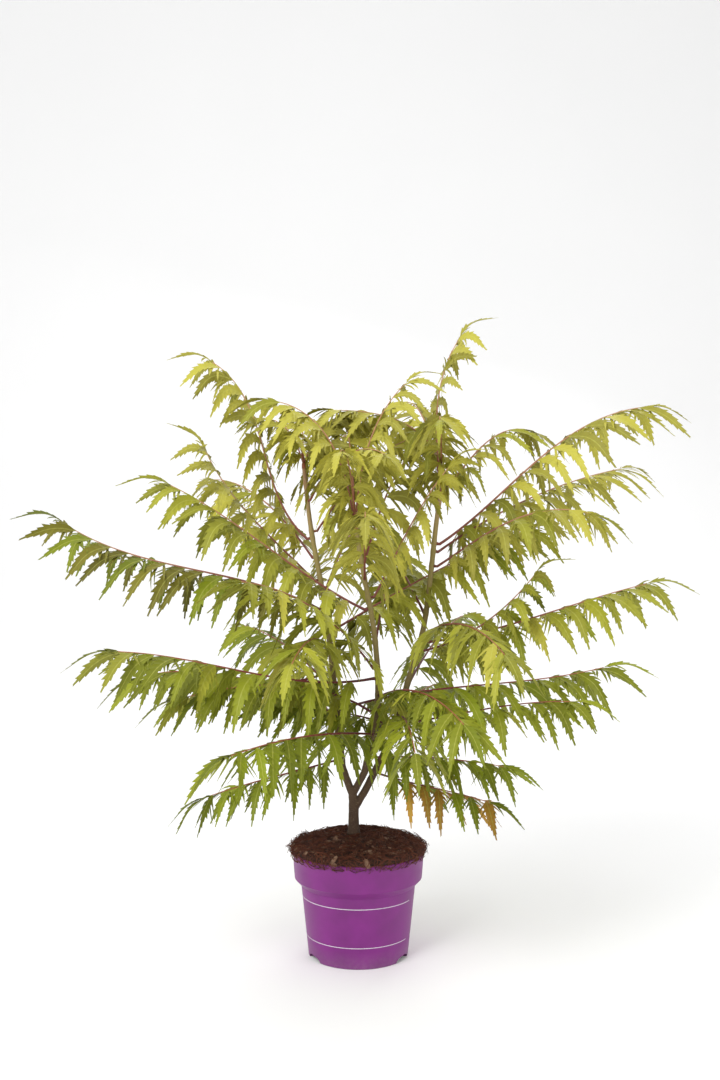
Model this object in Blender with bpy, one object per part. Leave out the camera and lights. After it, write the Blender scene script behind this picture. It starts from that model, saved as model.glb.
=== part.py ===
"""A potted sumac with finely cut leaves: pot, mulch, trunk, three stems and their compound leaves.

Metres, +Z up. The origin is on the pot's axis, in the plane of its flat underside. +X is the
right of the plant and -Y its front. A heading is a compass angle in plan, in degrees, from +X
towards +Y, and a rise is the angle of a leaf's rachis above the level.
"""

import math
import random
from collections import namedtuple

import bmesh
import bpy
import numpy as np
from mathutils import Vector
from mathutils.bvhtree import BVHTree

UP = Vector((0.0, 0.0, 1.0))
GAP = 0.0003  # clearance between pieces that touch

# Pot: a thin tapering shell with a collar and four arched drain recesses round its foot

POT_HEIGHT = 0.180
POT_FOOT_RADIUS = 0.0865
POT_BODY_RADIUS = 0.0995
POT_BODY_TOP = 0.122
COLLAR_FOOT = 0.134
COLLAR_FOOT_RADIUS = 0.111
RIM_RADIUS = 0.115
POT_WALL = 0.002
POT_SIDES = 32
RECESS_HEIGHT = 0.009
RECESS_SPREAD = 27.0  # degrees of the foot that one recess takes
RECESS_DEPTH = 0.020  # how far a recess reaches in from the wall
RECESS_HEADINGS = (28.0, 152.0, 208.0, 332.0)

# Mulch: fills the pot and swells over its rim

MULCH_OVERHANG = 0.0015
MULCH_SHOULDER = 0.010  # height above the rim at which the mound begins
MULCH_SEAT_RADIUS = 0.022  # a level seat under the trunk
MULCH_TOP = 0.207

# Wood: radii along the trunk and the stems

TRUNK_FOOT = (-0.008, 0.0, MULCH_TOP + GAP)
LOWER_FORK = (-0.008, 0.0, 0.250)
UPPER_FORK = (-0.010, -0.001, 0.281)
FLARE_RADIUS = 0.0125
TRUNK_RADIUS = 0.0088
STUB_REACH = 0.008  # straight part of the trunk's forks, on each stem's own line
TRUNK_SIDES = 12
LIMB_SIDES = 8
RINGS_PER_SPAN = 3

Limb = namedtuple("Limb", "path low_radius top_radius colour")
STEMS = {
    "stem_left": Limb(
        (
            (-0.0290, 0.006, 0.330),
            (-0.0357, 0.012, 0.392),
            (-0.0554, 0.030, 0.578),
            (-0.0842, 0.045, 0.738),
            (-0.0975, 0.051, 0.850),
        ),
        0.0066,
        0.0036,
        (0.21, 0.17, 0.07),
    ),
    "stem_middle": Limb(
        (
            (0.0130, -0.006, 0.324),
            (0.0308, -0.012, 0.4085),
            (0.0342, -0.018, 0.468),
            (0.0270, -0.030, 0.5635),
            (0.0047, -0.050, 0.686),
            (-0.0040, -0.055, 0.737),
        ),
        0.0062,
        0.0036,
        (0.25, 0.25, 0.10),
    ),
    "stem_right": Limb(
        (
            (0.0180, 0.004, 0.293),
            (0.0646, 0.015, 0.3856),
            (0.0860, 0.024, 0.463),
            (0.1166, 0.034, 0.5674),
            (0.1400, 0.045, 0.7556),
            (0.1480, 0.050, 0.800),
        ),
        0.0066,
        0.0038,
        (0.19, 0.16, 0.06),
    ),
}

# Leaves: where each leaves its stem and how its rachis runs. Rises are at its base, middle and end

Leaf = namedtuple("Leaf", "height heading rises length pairs")
LEAVES = {
    "stem_left": {
        "left_01": Leaf(0.335, 206, (-10, -9, -14), 0.24, 5),
        "left_02": Leaf(0.375, 100, (15, 8, 0), 0.34, 6),
        "left_03": Leaf(0.422, -5, (19, 6, 15), 0.46, 8),
        "left_04": Leaf(0.455, 118, (24, 12, 2), 0.42, 7),
        "left_05": Leaf(0.487, 190, (-24, 10, -20), 0.33, 7),
        "left_06": Leaf(0.528, 262, (18, 2, -18), 0.34, 6),
        "left_07": Leaf(0.560, 12, (30, 27, 20), 0.40, 7),
        "left_08": Leaf(0.599, 178, (29, 12, 34), 0.485, 9),
        "left_09": Leaf(0.626, 75, (38, 24, 6), 0.42, 7),
        "left_10": Leaf(0.649, 200, (45, 46, 64), 0.30, 6),
        "left_11": Leaf(0.690, 128, (40, 26, 2), 0.38, 6),
        "left_12": Leaf(0.724, 168, (40, 74, 30), 0.375, 7),
        "left_13": Leaf(0.735, 8, (56, 48, 20), 0.24, 5),
        "left_14": Leaf(0.790, 300, (45, 18, -22), 0.26, 5),
        "left_15": Leaf(0.820, 60, (50, 30, -10), 0.24, 5),
    },
    "stem_middle": {
        "middle_01": Leaf(0.345, -22, (7, 0, -6), 0.23, 5),
        "middle_02": Leaf(0.385, 68, (14, 8, -4), 0.36, 6),
        "middle_03": Leaf(0.421, 186, (34, 2, -14), 0.34, 6),
        "middle_04": Leaf(0.452, 292, (18, 0, -22), 0.32, 6),
        "middle_05": Leaf(0.481, 200, (-8, 13, 4), 0.44, 8),
        "middle_06": Leaf(0.500, 228, (46, 28, 6), 0.35, 7),
        "middle_07": Leaf(0.545, 82, (34, 22, 6), 0.40, 7),
        "middle_08": Leaf(0.603, 190, (26, 36, 26), 0.39, 8),
        "middle_09": Leaf(0.621, 0, (62, 62, 50), 0.26, 5),
        "middle_10": Leaf(0.655, 270, (50, 26, -20), 0.28, 5),
        "middle_11": Leaf(0.680, 60, (60, 46, 10), 0.34, 6),
    },
    "stem_right": {
        "right_01": Leaf(0.315, -32, (-10, -5, -10), 0.21, 5),
        "right_02": Leaf(0.373, 234, (12, 4, -6), 0.41, 8),
        "right_03": Leaf(0.390, 176, (20, 8, 10), 0.22, 4),
        "right_04": Leaf(0.401, -18, (10, 12, 0), 0.30, 6),
        "right_05": Leaf(0.410, 272, (8, 0, -16), 0.32, 6),
        "right_06": Leaf(0.470, 70, (24, 14, 0), 0.42, 7),
        "right_07": Leaf(0.527, -12, (14, 36, 52), 0.24, 5),
        "right_08": Leaf(0.541, -8, (7, 18, 14), 0.395, 8),
        "right_09": Leaf(0.552, 288, (20, 0, -24), 0.34, 6),
        "right_10": Leaf(0.590, 108, (36, 24, 4), 0.42, 7),
        "right_11": Leaf(0.674, -22, (32, 24, -20), 0.30, 6),
        "right_12": Leaf(0.700, 32, (30, 20, 10), 0.48, 8),
        "right_13": Leaf(0.714, 9, (33, 40, 6), 0.465, 9),
    },
}

# Tufts: young leaves that rise together from a short bud at the tip of each stem

BUD_LENGTH = 0.010
BUD_SIDES = 6
TUFTS = {
    "stem_left": (
        Leaf(0, 155, (70, 50, -10), 0.13, 3),
        Leaf(0, 15, (66, 44, -20), 0.16, 4),
        Leaf(0, 265, (50, 20, -30), 0.14, 3),
        Leaf(0, 95, (66, 44, 0), 0.16, 3),
    ),
    "stem_middle": (
        Leaf(0, 170, (80, 62, 6), 0.28, 6),
        Leaf(0, 20, (86, 72, 42), 0.27, 6),
        Leaf(0, 262, (66, 40, -20), 0.22, 5),
        Leaf(0, 100, (76, 60, 10), 0.26, 5),
    ),
    "stem_right": (
        Leaf(0, 22, (40, 40, -26), 0.24, 5),
        Leaf(0, 10, (98, 86, 56), 0.285, 6),
        Leaf(0, 186, (104, 30, 0), 0.28, 6),
        Leaf(0, 265, (62, 36, -26), 0.24, 5),
        Leaf(0, 108, (66, 48, 0), 0.28, 6),
    ),
}

# A leaf's make-up: a three-sided rachis with leaflets in near-opposite pairs and one at its end

FULL_LEAF = 0.45  # rachis length at which the sizes below hold
RACHIS_RADIUS = 0.0024
RACHIS_TIP_RADIUS = 0.0011
RACHIS_SPAN = 0.062
PETIOLE_FOOT = 0.006  # stands straight out from the stem
SEAT = 0.0004  # between a leaf's foot and the bark
BARE_SHARE = 0.17  # of the rachis, before the first pair
PAIR_STAGGER = 0.04  # of the rachis, between the two leaflets of a pair
LEAFLET_LENGTH = 0.118
LEAFLET_HALF_WIDTH = 0.0108
LEAFLET_HALF_THICKNESS = 0.0010
ROOT_SHARE = 0.8  # of the rachis radius, how far a leaflet's root is sunk past the middle
TERMINAL_ROOT = 0.004  # how far the end leaflet's root is sunk in
LEAFLET_WAIST = 0.36  # of its length, where it is widest
LEAFLET_SPREAD = 62.0  # degrees between leaflet and rachis at the first pair
LEAFLET_CLOSING = 24.0  # less at the last pair
LEAFLET_TWIST = 26.0
FULL_HANG = 0.98  # how far a leaflet bends down: 1 would hang nearly straight
LESS_HANG = 0.30
TERMINAL_TWIST = 0.9
TERMINAL_DROOP = 38.0
CLEARANCE = 0.0009  # kept between neighbouring leaves
SEED = 11


def clear_scene():
    for item in list(bpy.data.objects):
        bpy.data.objects.remove(item, do_unlink=True)


def material(name, colour, roughness):
    """A Principled material in one plain colour."""
    made = bpy.data.materials.new(name)
    made.use_nodes = True
    shader = made.node_tree.nodes["Principled BSDF"]
    shader.inputs["Base Color"].default_value = (*colour, 1.0)
    shader.inputs["Roughness"].default_value = roughness
    shader.inputs["Metallic"].default_value = 0.0
    return made


def add_object(name, points, faces, look):
    """A mesh object with its faces turned outwards."""
    mesh = bpy.data.meshes.new(name)
    mesh.from_pydata([tuple(p) for p in points], [], faces)
    shape = bmesh.new()
    shape.from_mesh(mesh)
    bmesh.ops.recalc_face_normals(shape, faces=shape.faces)
    shape.to_mesh(mesh)
    shape.free()
    mesh.materials.append(look)
    item = bpy.data.objects.new(name, mesh)
    bpy.context.scene.collection.objects.link(item)
    return item


def smooth(item, degrees=40.0):
    item.data.shade_smooth()
    item.data.set_sharp_from_angle(angle=math.radians(degrees))


def apply_boolean(item, operation, others):
    """Join the objects in others to item, or cut them from it, and remove them."""
    group = bpy.data.collections.new("group")
    bpy.context.scene.collection.children.link(group)
    for other in others:
        for old in list(other.users_collection):
            old.objects.unlink(other)
        group.objects.link(other)
    boolean = item.modifiers.new("join", "BOOLEAN")
    boolean.operation = operation
    boolean.operand_type = "COLLECTION"
    boolean.collection = group
    boolean.solver = "EXACT"
    graph = bpy.context.evaluated_depsgraph_get()
    joined = bpy.data.meshes.new_from_object(item.evaluated_get(graph), depsgraph=graph)
    item.modifiers.clear()
    item.data = joined
    for other in list(group.objects):
        bpy.data.objects.remove(other, do_unlink=True)
    bpy.data.collections.remove(group)


# Turned and swept shapes


def turned(profile, sides):
    """Points and faces of a profile of (radius, height), from the bottom up, turned about +Z.

    Both ends are closed with a flat face.
    """
    points = []
    for radius, height in profile:
        for step in range(sides):
            angle = 2.0 * math.pi * step / sides
            points.append((radius * math.cos(angle), radius * math.sin(angle), height))
    return points, ring_faces(len(profile), sides)


def ring_faces(rings, sides):
    """Quads between rings of points, and a face over the first ring and the last."""
    faces = []
    for low in range(0, (rings - 1) * sides, sides):
        high = low + sides
        for step in range(sides):
            after = (step + 1) % sides
            faces.append((low + step, low + after, high + after, high + step))
    faces.append(tuple(reversed(range(sides))))
    faces.append(tuple(range((rings - 1) * sides, rings * sides)))
    return faces


def spline(waypoints, per_span):
    """A smooth path through the waypoints."""
    knots = [Vector(p) for p in waypoints]
    knots = [2.0 * knots[0] - knots[1], *knots, 2.0 * knots[-1] - knots[-2]]
    path = []
    for i in range(1, len(knots) - 2):
        before, start, end, after = knots[i - 1 : i + 3]
        for step in range(per_span):
            t = step / per_span
            path.append(
                0.5
                * (
                    2.0 * start
                    + (end - before) * t
                    + (2.0 * before - 5.0 * start + 4.0 * end - after) * t**2
                    + (3.0 * start - before - 3.0 * end + after) * t**3
                )
            )
    path.append(knots[-2])
    return path


def tangents(path):
    ends = [path[1] - path[0], *(b - a for a, b in zip(path, path[2:])), path[-1] - path[-2]]
    return [end.normalized() for end in ends]


def tube(path, radii, sides, side=None):
    """Points and faces of a closed tube. Its rings turn with the path and start at side."""
    points = []
    across = side or tangents(path)[0].orthogonal()
    for centre, direction, radius in zip(path, tangents(path), radii):
        across = (across - direction * across.dot(direction)).normalized()
        over = direction.cross(across)
        for step in range(sides):
            angle = 2.0 * math.pi * step / sides
            points.append(centre + radius * (math.cos(angle) * across + math.sin(angle) * over))
    return points, ring_faces(len(path), sides)


# Pot and mulch


def wall_radius(height, inset):
    """The pot's outer radius at a height, less the inset."""
    if height <= POT_BODY_TOP:
        share = height / POT_BODY_TOP
        return POT_FOOT_RADIUS + share * (POT_BODY_RADIUS - POT_FOOT_RADIUS) - inset
    if height <= COLLAR_FOOT:
        share = (height - POT_BODY_TOP) / (COLLAR_FOOT - POT_BODY_TOP)
        return POT_BODY_RADIUS + share * (COLLAR_FOOT_RADIUS - POT_BODY_RADIUS) - inset
    share = (height - COLLAR_FOOT) / (POT_HEIGHT - COLLAR_FOOT)
    return COLLAR_FOOT_RADIUS + share * (RIM_RADIUS - COLLAR_FOOT_RADIUS) - inset


def pot_profile(inset, floor, top):
    """The pot's wall from floor to top, set in by the inset and upright above the rim."""
    heights = (floor, POT_BODY_TOP, COLLAR_FOOT, POT_HEIGHT)
    wall = [(wall_radius(height, inset), height) for height in heights]
    return wall + [(wall[-1][0], top)] if top > POT_HEIGHT else wall


def recess(heading, grow, low):
    """Points and faces of one drain recess: an arched block across the pot's foot."""
    steps = 6
    middle = math.radians(heading)
    out = Vector((math.cos(middle), math.sin(middle), 0.0))
    along = Vector((-out.y, out.x, 0.0))
    half = POT_FOOT_RADIUS * math.sin(math.radians(RECESS_SPREAD / 2.0)) + grow
    inner = POT_FOOT_RADIUS - RECESS_DEPTH - grow
    outer = POT_FOOT_RADIUS + 0.020
    arch = [(-half, low)]
    for step in range(steps + 1):
        angle = math.pi * (1.0 - step / steps)
        arch.append(
            (half * math.cos(angle), 0.002 + (RECESS_HEIGHT - 0.002 + grow) * math.sin(angle))
        )
    arch.append((half, low))
    points = [out * reach + along * x + UP * z for reach in (inner, outer) for x, z in arch]
    count = len(arch)
    faces = [tuple(range(count)), tuple(reversed(range(count, 2 * count)))]
    for step in range(count):
        after = (step + 1) % count
        faces.append((step, step + count, after + count, after))
    return points, faces


def recesses(grow, low, look):
    blocks = []
    for heading in RECESS_HEADINGS:
        points, faces = recess(heading, grow, low)
        blocks.append(add_object("recess", points, faces, look))
    return blocks


def make_pot(look):
    pot = add_object("pot", *turned(pot_profile(0.0, 0.0, POT_HEIGHT), POT_SIDES), look)
    apply_boolean(pot, "DIFFERENCE", recesses(0.0, -0.010, look))
    cavity = add_object(
        "cavity", *turned(pot_profile(POT_WALL, POT_WALL, POT_HEIGHT + 0.010), POT_SIDES), look
    )
    apply_boolean(cavity, "DIFFERENCE", recesses(POT_WALL, -0.010, look))
    apply_boolean(pot, "DIFFERENCE", [cavity])
    smooth(pot, 30.0)
    return pot


def mulch_profile():
    """The mulch in its pot: its sides, the swell over the rim and the mound with a level seat."""
    over = POT_HEIGHT + GAP
    shoulder = over + MULCH_SHOULDER
    mound_foot = RIM_RADIUS - 0.006
    profile = pot_profile(POT_WALL + GAP, POT_WALL + GAP, over)
    profile.append((RIM_RADIUS - 0.001, over))
    profile.append((RIM_RADIUS + MULCH_OVERHANG, over + 0.004))
    profile.append((RIM_RADIUS - 0.002, shoulder))
    for share in (0.16, 0.40, 0.70, 1.0):
        radius = mound_foot + share * (MULCH_SEAT_RADIUS - mound_foot)
        rise = math.sin(share * math.pi / 2.0)
        profile.append((radius, shoulder + rise * (MULCH_TOP - shoulder)))
    return profile


def make_mulch(look):
    mulch = add_object("mulch", *turned(mulch_profile(), POT_SIDES), look)
    apply_boolean(mulch, "DIFFERENCE", recesses(POT_WALL + GAP, -0.010, look))
    smooth(mulch, 30.0)
    return mulch


# Trunk and stems


def make_trunk(look):
    """The trunk from its flared foot to its two forks, with a short fork for each stem."""
    foot, low, high = Vector(TRUNK_FOOT), Vector(LOWER_FORK), Vector(UPPER_FORK)
    path = [foot, foot + UP * 0.005, foot + UP * 0.014, foot.lerp(low, 0.75), low, high]
    radii = [FLARE_RADIUS, 0.0108, 0.0096, TRUNK_RADIUS + 0.0003, TRUNK_RADIUS, 0.0072]
    points, faces = tube(path, radii, TRUNK_SIDES, Vector((1.0, 0.0, 0.0)))
    for point in points[:TRUNK_SIDES]:
        point.z = foot.z
    trunk = add_object("trunk", points, faces, look)
    forks = {
        "stem_right": low - UP * 0.002,
        "stem_left": high - UP * 0.006,
        "stem_middle": high - UP * 0.006,
    }
    stubs = []
    for name, fork in forks.items():
        stem, radii = stem_line(name)
        direction = (stem[1] - stem[0]).normalized()
        end = stem[0] - GAP * direction
        straight = end - STUB_REACH * direction
        path = [fork, fork.lerp(straight, 0.5), straight, end]
        points, faces = tube(path, [radii[0]] * len(path), LIMB_SIDES)
        stubs.append(add_object("stub", points, faces, look))
    apply_boolean(trunk, "UNION", stubs)
    smooth(trunk)
    return trunk


def stem_line(name):
    """The stem's smooth path and the radius at each of its points."""
    stem = STEMS[name]
    path = spline(stem.path, RINGS_PER_SPAN)
    last = len(path) - 1
    radii = [
        stem.low_radius + (stem.top_radius - stem.low_radius) * i / last for i in range(last + 1)
    ]
    return path, radii


def make_stem(name, look):
    path, radii = stem_line(name)
    stem = add_object(name, *tube(path, radii, LIMB_SIDES), look)
    smooth(stem)
    return stem


def stem_at(name, height):
    """Centre, direction and radius of a stem at a height."""
    path, radii = stem_line(name)
    for i in range(len(path) - 1):
        if path[i + 1].z >= height:
            break
    share = (height - path[i].z) / (path[i + 1].z - path[i].z)
    share = min(max(share, 0.0), 1.0)
    centre = path[i].lerp(path[i + 1], share)
    radius = radii[i] + share * (radii[i + 1] - radii[i])
    return centre, (path[i + 1] - path[i]).normalized(), radius


# Leaves


def rise_at(rises, share):
    """The rise in degrees at a share of the rachis, on the curve through the three given."""
    low, middle, high = rises
    return (
        low * (1.0 - share) * (1.0 - 2.0 * share)
        + middle * 4.0 * share * (1.0 - share)
        + high * share * (2.0 * share - 1.0)
    )


def bearing(heading, rise):
    level = math.cos(math.radians(rise))
    return Vector(
        (
            level * math.cos(math.radians(heading)),
            level * math.sin(math.radians(heading)),
            math.sin(math.radians(rise)),
        )
    )


def rachis_path(leaf, start):
    """The rachis from start: its direction follows the leaf's heading and rises."""
    path = [start.copy()]
    spans = max(4, round(leaf.length / RACHIS_SPAN))
    for i in range(spans):
        share = (i + 0.5) / spans
        step = leaf.length / spans
        path.append(path[-1] + step * bearing(leaf.heading, rise_at(leaf.rises, share)))
    return path


def rachis_radius(leaf, share):
    size = math.sqrt(leaf.length / FULL_LEAF)
    return RACHIS_TIP_RADIUS + (RACHIS_RADIUS - RACHIS_TIP_RADIUS) * size * (1.0 - share)


def sideways(leaf):
    return bearing(leaf.heading + 90.0, 0.0)


def point_on(path, share):
    """The point and the direction at a share of a path's length."""
    lengths = [(end - start).length for start, end in zip(path, path[1:])]
    left = share * sum(lengths)
    i = 0
    while i < len(lengths) - 1 and left > lengths[i]:
        left -= lengths[i]
        i += 1
    return path[i].lerp(path[i + 1], left / lengths[i]), (path[i + 1] - path[i]).normalized()


def leaflet(root, first, second, length, across, root_depth, grow=0.0):
    """Points and faces of a leaflet: eight faces between its sunk root, its waist and its tip.

    It leaves along first and bends to second at its waist. Grow makes it fatter all round.
    """
    waist = root + first * (LEAFLET_WAIST * length)
    tip = waist + second * ((1.0 - LEAFLET_WAIST) * length + grow)
    mean = (first + second).normalized()
    across = (across - mean * across.dot(mean)).normalized()
    over = mean.cross(across)
    wide = LEAFLET_HALF_WIDTH * length / LEAFLET_LENGTH + grow
    thick = LEAFLET_HALF_THICKNESS + grow
    points = [
        root - first * root_depth,
        waist + across * wide,
        waist + over * thick,
        waist - across * wide,
        waist - over * thick,
        tip,
    ]
    faces = [(0, 1 + (i + 1) % 4, 1 + i) for i in range(4)]
    faces += [(5, 1 + i, 1 + (i + 1) % 4) for i in range(4)]
    return points, faces


class Space:
    """What is placed already, so that a new leaf can be kept clear of it."""

    def __init__(self):
        self.boxes = np.zeros((0, 6))
        self.trees = []
        self.owners = []

    def add(self, points, faces, owner=None):
        corners = np.array([tuple(p) for p in points])
        box = np.concatenate([corners.min(axis=0), corners.max(axis=0)])
        self.boxes = np.vstack([self.boxes, box])
        self.trees.append(BVHTree.FromPolygons([Vector(p) for p in points], faces))
        self.owners.append(owner)

    def hits(self, points, faces, owner=None):
        """Whether these faces cut a placed shape, other than the owner's own."""
        corners = np.array([tuple(p) for p in points])
        low, high = corners.min(axis=0), corners.max(axis=0)
        near = np.all((self.boxes[:, :3] <= high) & (self.boxes[:, 3:] >= low), axis=1)
        others = [i for i in np.flatnonzero(near) if not owner or self.owners[i] != owner]
        if not others:
            return False
        tree = BVHTree.FromPolygons([Vector(p) for p in points], faces)
        return any(tree.overlap(self.trees[i]) for i in others)

    def distance(self, point):
        found = [tree.find_nearest(point) for tree in self.trees]
        return min(hit[3] for hit in found if hit[3] is not None)


def foot_path(stem_name, leaf, bark):
    """The rachis with its foot square to the bark, moved out until its rim is clear of it."""
    centre, direction, radius = stem_at(stem_name, leaf.height)
    out = bearing(leaf.heading, 0.0)
    out = (out - direction * out.dot(direction)).normalized()
    foot = centre + out * radius
    side = out.cross(direction)
    size = rachis_radius(leaf, 0.0)
    rim = [
        size * (math.cos(angle) * direction + math.sin(angle) * side)
        for angle in np.linspace(0.0, 2.0 * math.pi, 12, endpoint=False)
    ]
    while min(bark.distance(foot + reach) for reach in rim) < SEAT:
        foot = foot + out * 0.00005
    return [foot] + rachis_path(leaf, foot + out * PETIOLE_FOOT)


def rachis_tube(leaf, path, grow=0.0):
    """A three-sided tube with its keel downwards, so that leaflets leave it through its flanks."""
    spans = len(path) - 1
    radii = [rachis_radius(leaf, i / spans) + grow for i in range(spans + 1)]
    lead = (path[1] - path[0]).normalized()
    return tube(path, radii, 3, sideways(leaf).cross(lead))


def turned_clear(leaf, make_path, others):
    """The leaf and its path, turned a little where its rachis would meet another limb."""
    for turn in (0, 3, -3, 6, -6, 9, -9, 12, -12, 15, -15, 18, -18):
        tried = leaf._replace(heading=leaf.heading + turn)
        path = make_path(tried)
        if not others.hits(*rachis_tube(tried, path[1:], CLEARANCE)):
            return tried, path
    raise ValueError(f"no room for {leaf}")


def leaflet_plan(leaf, path, rng):
    """Root, directions, length, width axis and root depth of each leaflet, foot to end."""
    plans = []
    size = (leaf.length / FULL_LEAF) ** 0.35
    for pair in range(leaf.pairs):
        row = pair / max(leaf.pairs - 1, 1)
        share = BARE_SHARE + (0.95 - BARE_SHARE) * row
        for hand in (-1, 1):
            root, along = point_on(path, share + hand * PAIR_STAGGER / 2.0)
            side = along.cross(UP)
            side = side.normalized() if side.length > 0.3 else -sideways(leaf)
            spread = math.radians(LEAFLET_SPREAD - LEAFLET_CLOSING * row + rng.uniform(-8, 8))
            out = along * math.cos(spread) + side * hand * math.sin(spread)
            hang = FULL_HANG - LESS_HANG * row + rng.uniform(-0.12, 0.12)
            first = (out - UP * 0.50 * hang).normalized()
            second = (out * (1.0 - 0.60 * hang) - UP * hang).normalized()
            fullness = 0.80 + 0.22 * math.sin(math.pi * (0.15 + 0.70 * row))
            length = LEAFLET_LENGTH * size * fullness
            twist = math.radians(rng.uniform(-LEAFLET_TWIST, LEAFLET_TWIST))
            across = along * math.cos(twist) + side * math.sin(twist)
            depth = ROOT_SHARE * rachis_radius(leaf, share)
            plans.append((root, first, second, length, across, depth))
    root, along = point_on(path, 1.0)
    droop = (along * along.z - UP).normalized() * math.sin(math.radians(TERMINAL_DROOP))
    second = along * math.cos(math.radians(TERMINAL_DROOP)) + droop
    across = sideways(leaf) + along.cross(sideways(leaf)) * TERMINAL_TWIST
    plans.append((root, along, second, LEAFLET_LENGTH * size * 0.80, across, TERMINAL_ROOT))
    return plans


def place_leaflets(leaf, path, others, rng):
    """The leaflets that fit: one that would touch another leaf hangs another way or is left out."""
    placed = []
    for root, first, second, length, across, depth in leaflet_plan(leaf, path, rng):
        for lean in (0.0, 0.25, -0.25, 0.5, -0.5):
            bent = (second + UP * lean + first * abs(lean) * 0.5).normalized()
            test = leaflet(root, first, bent, length, across, 0.0, CLEARANCE)
            if others.hits(*test, owner=leaf):
                continue
            placed.append(leaflet(root, first, bent, length, across, depth))
            others.add(*leaflet(root, first, bent, length, across, 0.0))
            break
    return placed


def fuse(name, pieces, look):
    """One solid from the first piece, a bud or a rachis, and everything that grows on it."""
    body, *others = [add_object(name, points, faces, look) for points, faces in pieces]
    apply_boolean(body, "UNION", others)
    body.name = name
    return body


def bud_of(stem_name):
    """The bud that carries a tuft, just clear of its stem's tip."""
    path, radii = stem_line(stem_name)
    direction = (path[-1] - path[-2]).normalized()
    foot = path[-1] + direction * SEAT
    line = [foot, foot + direction * BUD_LENGTH * 0.7, foot + direction * BUD_LENGTH]
    return line, [radii[-1], radii[-1] * 0.85, radii[-1] * 0.45]


def wood_space(trunk):
    """The trunk and the stems, as what leaves keep clear of."""
    wood = Space()
    faces = [tuple(face.vertices) for face in trunk.data.polygons]
    wood.add([vertex.co for vertex in trunk.data.vertices], faces)
    for name in STEMS:
        path, radii = stem_line(name)
        wood.add(*tube(path, radii, LIMB_SIDES))
    return wood


def plan_tufts(limbs):
    """A tuft for each stem's tip: its name, its leaves with their paths, and its bud."""
    tufts = []
    for stem_name, young in TUFTS.items():
        line, radii = bud_of(stem_name)
        own = [
            turned_clear(leaf, lambda one: rachis_path(one, line[1]), limbs) for leaf in young
        ]
        for leaf, path in own:
            limbs.add(*rachis_tube(leaf, path), owner=leaf)
        name = stem_name.replace("stem", "tuft")
        tufts.append((name, own, [tube(line, radii, BUD_SIDES)]))
    return tufts


def plan_leaves(limbs, wood):
    """A leaf for each row of the stems' lists: its name, and the leaf with its path."""
    leaves = []
    for stem_name, rows in LEAVES.items():
        for name, row in rows.items():
            leaf, path = turned_clear(row, lambda one: foot_path(stem_name, one, wood), limbs)
            limbs.add(*rachis_tube(leaf, path), owner=leaf)
            leaves.append((f"leaf_{name}", [(leaf, path)], []))
    return leaves


def make_foliage(trunk, looks):
    """Every tuft and leaf: all the rachises are placed first, then the leaflets between them."""
    rng = random.Random(SEED)
    wood = wood_space(trunk)
    limbs = wood_space(trunk)
    sprays = plan_tufts(limbs) + plan_leaves(limbs, wood)
    for index, (name, own, pieces) in enumerate(sprays):
        for leaf, path in own:
            pieces.append(rachis_tube(leaf, path))
        for leaf, path in own:
            pieces.extend(place_leaflets(leaf, path, limbs, rng))
        fuse(name, pieces, looks[index % len(looks)])


def main():
    clear_scene()
    make_pot(material("pot_plastic", (0.160, 0.015, 0.190), 0.45))
    make_mulch(material("mulch", (0.13, 0.055, 0.03), 0.95))
    trunk = make_trunk(material("bark", (0.16, 0.13, 0.06), 0.8))
    for name, stem in STEMS.items():
        make_stem(name, material(name, stem.colour, 0.7))
    greens = [
        material("leaf_green", (0.18, 0.24, 0.02), 0.55),
        material("leaf_yellow_green", (0.30, 0.33, 0.03), 0.55),
        material("leaf_deep_green", (0.11, 0.18, 0.02), 0.55),
    ]
    make_foliage(trunk, greens)


main()
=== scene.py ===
# %% [markdown]
# A potted sumac with finely cut leaves
#
# The looks of the plant, on the solids of the frame. The frame holds the pot, its mulch, a forked
# trunk, three stems and 42 sprays of leaves. Here each gets a finer mesh in the same place: a
# moulded pot, a mound of loose fibres, bark with relief and leaves with toothed, lobed leaflets.
#
# Metres, +Z up, -Y towards the camera. A heading is an angle seen from above, in degrees, from +X
# towards +Y, and a rise is the angle of a leaf's rachis above the level.

# %% Load the frame
import math
import random
from collections import namedtuple

import bmesh
import bpy
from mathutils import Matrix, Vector, noise


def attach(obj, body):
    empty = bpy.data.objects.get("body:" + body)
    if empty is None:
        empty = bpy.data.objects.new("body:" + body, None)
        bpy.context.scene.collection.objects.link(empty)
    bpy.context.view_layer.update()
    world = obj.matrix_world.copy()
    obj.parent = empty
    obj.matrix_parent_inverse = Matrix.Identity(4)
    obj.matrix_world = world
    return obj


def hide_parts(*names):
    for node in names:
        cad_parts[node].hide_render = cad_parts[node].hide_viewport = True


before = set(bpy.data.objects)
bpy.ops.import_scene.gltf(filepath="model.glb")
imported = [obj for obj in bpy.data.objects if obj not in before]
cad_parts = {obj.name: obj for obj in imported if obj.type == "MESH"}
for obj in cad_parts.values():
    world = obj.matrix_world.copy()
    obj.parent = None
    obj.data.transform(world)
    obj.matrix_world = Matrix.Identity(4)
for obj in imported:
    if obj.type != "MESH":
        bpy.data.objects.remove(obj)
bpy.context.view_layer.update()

UP = Vector((0.0, 0.0, 1.0))
print("nodes in the frame:", len(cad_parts))

# %% [markdown]
# Tools for meshes
#
# Every form on this plant is one of three: a shape turned about the pot's axis, a tube swept along
# a path, or a thin sheet. Curve objects with modifiers could make them too, one object for each.
# Lists of points and faces are used instead, because many small forms can then be gathered in one
# mesh, where a thousand objects would be slow. Each point carries a mark, a vector that the
# materials read: its place along the form, its place across it or its height, and a random tone.


# %% Gathering points and faces
NO_MARK = (0.0, 0.0, 0.0)


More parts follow.
